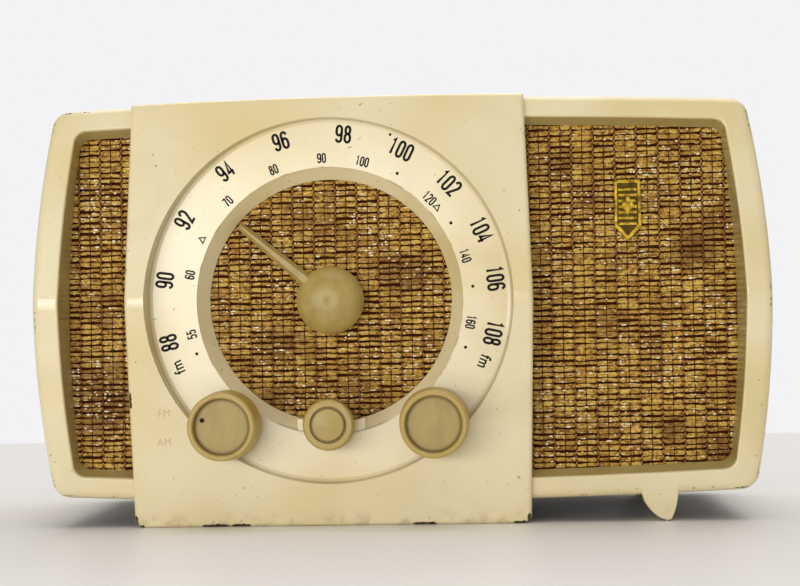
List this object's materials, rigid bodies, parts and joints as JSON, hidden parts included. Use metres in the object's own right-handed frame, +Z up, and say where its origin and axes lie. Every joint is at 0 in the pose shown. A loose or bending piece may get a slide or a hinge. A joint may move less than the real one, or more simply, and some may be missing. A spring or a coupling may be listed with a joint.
{
  "type": "table radio",
  "caption": "Table radio with a cream moulded cabinet, a bowed leaning front, a round dial with a turning pointer, woven grille cloth and three knobs.",
  "frame": {"origin": "on the table, under the middle of the set", "axes": "+X to the right seen from the front, +Y from the front to the back, +Z up"},
  "size_m": [0.345, 0.178, 0.2015],
  "materials": {
    "cream_paint": "worn cream paint over moulded bakelite",
    "tan_plastic": "aged, satin",
    "grille_cloth": "woven, gold with white flecks, stained",
    "hardboard": "brown pressed board",
    "brass": "aged",
    "steel": "zinc plated",
    "dark_steel": "black enamel",
    "speaker_paper": "black felted paper",
    "magnet": "ground",
    "copper": "enamelled copper wire",
    "tube_glass": "clear",
    "dark_plastic": "moulded phenolic",
    "phenolic": "brown laminate",
    "aluminium": "drawn",
    "core_iron": "laminated, varnished",
    "cord": "braided, waxed"
  },
  "bodies": {
    "cabinet": {"antenna_terminal_strip": "phenolic", "back_cover": "hardboard", "badge": "brass", "baffle_board": "hardboard", "baffle_screws": "steel", "band_switch": "phenolic", "cabinet": "cream_paint", "chassis": "steel", "chassis_screws": "steel", "condenser_frame": "steel", "condenser_stator": "aluminium", "control_nuts": "brass", "cover_screws": "steel", "dial_cord": "cord", "filter_capacitor": "aluminium", "grille_cloth": "grille_cloth", "idler_stud": "steel", "if_can_1": "aluminium", "if_can_2": "aluminium", "if_can_3": "aluminium", "if_can_4": "aluminium", "inlet_pins": "brass", "loop_antenna": "copper", "mains_inlet": "dark_plastic", "output_transformer_coil": "copper", "output_transformer_core": "core_iron", "pointer_bearing": "brass", "speaker_cone": "speaker_paper", "speaker_dust_cap": "speaker_paper", "speaker_frame": "dark_steel", "speaker_gasket": "hardboard", "speaker_magnet": "magnet", "speaker_screws": "steel", "terminal_screws": "brass", "tube_1_glass": "tube_glass", "tube_2_glass": "tube_glass", "tube_3_glass": "tube_glass", "tube_4_glass": "tube_glass", "tube_5_glass": "tube_glass", "tube_6_glass": "tube_glass", "tube_electrodes": "dark_steel", "tube_sockets": "dark_plastic", "tuning_bush": "brass", "voice_coil": "copper", "volume_control": "dark_steel"},
    "tuning": {"tuning_knob": "tan_plastic", "tuning_shaft": "steel"},
    "rotor": {"condenser_rotor": "aluminium", "drum": "phenolic", "cord_spring": "steel"},
    "pointer": {"pointer": "tan_plastic", "pointer_shaft": "steel", "pointer_pulley": "phenolic"},
    "idler": {"idler_pulley": "brass"},
    "volume": {"volume_knob": "tan_plastic", "volume_shaft": "steel"},
    "band": {"band_knob": "tan_plastic", "band_shaft": "steel"}
  },
  "joints": [
    {"name": "tuning_turn", "type": "hinge", "parent": "cabinet", "child": "tuning", "pos_m": [0.0152, -0.074, 0.048], "axis": [0, 1, 0], "range_deg": [-484, 1316]},
    {"name": "rotor_turn", "type": "hinge", "parent": "cabinet", "child": "rotor", "pos_m": [-0.1, -0.074, 0.09], "axis": [0, 1, 0], "range_deg": [-48.4, 131.6]},
    {"name": "pointer_turn", "type": "hinge", "parent": "cabinet", "child": "pointer", "pos_m": [-0.0332, -0.074, 0.1055], "axis": [0, 1, 0], "range_deg": [-55.4, 150.62]},
    {"name": "idler_turn", "type": "hinge", "parent": "cabinet", "child": "idler", "pos_m": [-0.008, -0.074, 0.056], "axis": [0, 1, 0], "range_deg": [-987, 363]},
    {"name": "volume_turn", "type": "hinge", "parent": "cabinet", "child": "volume", "pos_m": [-0.0332, -0.074, 0.048], "axis": [0, 1, 0], "range_deg": [0, 300]},
    {"name": "band_turn", "type": "hinge", "parent": "cabinet", "child": "band", "pos_m": [-0.0816, -0.074, 0.048], "axis": [0, 1, 0], "range_deg": [-30, 0]}
  ],
  "couplings": [
    {"joint": "rotor_turn", "follows": "tuning_turn", "ratio": 0.1},
    {"joint": "pointer_turn", "follows": "tuning_turn", "ratio": 0.11444},
    {"joint": "idler_turn", "follows": "tuning_turn", "ratio": -0.75}
  ]
}
